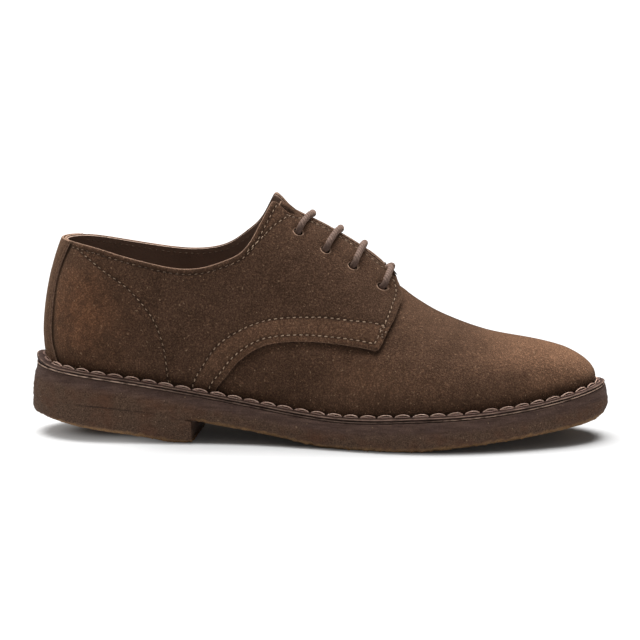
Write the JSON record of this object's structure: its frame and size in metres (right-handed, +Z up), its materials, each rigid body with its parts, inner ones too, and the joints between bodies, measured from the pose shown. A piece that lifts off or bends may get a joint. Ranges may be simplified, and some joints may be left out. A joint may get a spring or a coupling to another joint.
{
  "type": "derby shoe",
  "caption": "Low open-laced shoe in brown suede with round toe, curved quarters over the vamp, stitched welt and crepe rubber sole.",
  "frame": {"origin": "on the ground, under the middle of the sole's bounding box", "axes": "+X along the shoe towards the toe, +Y towards the medial side, +Z up; right shoe"},
  "size_m": [0.3062, 0.109, 0.1242],
  "materials": {
    "suede": "napped suede",
    "lining": "smooth lining leather",
    "thread": "cream stitching thread",
    "lace": "waxed cotton",
    "insole": "smooth",
    "welt": "satin",
    "midsole": "satin",
    "crepe": "matte crepe"
  },
  "bodies": {
    "root": {"outsole": "crepe", "heel_lift": "crepe", "midsole": "midsole", "welt": "welt", "insole": "insole", "upper": "suede", "tongue": "suede", "lace_bar_1": "lace", "lace_bar_2": "lace", "lace_bar_3": "lace", "lace_bar_4": "lace"}
  },
  "joints": []
}
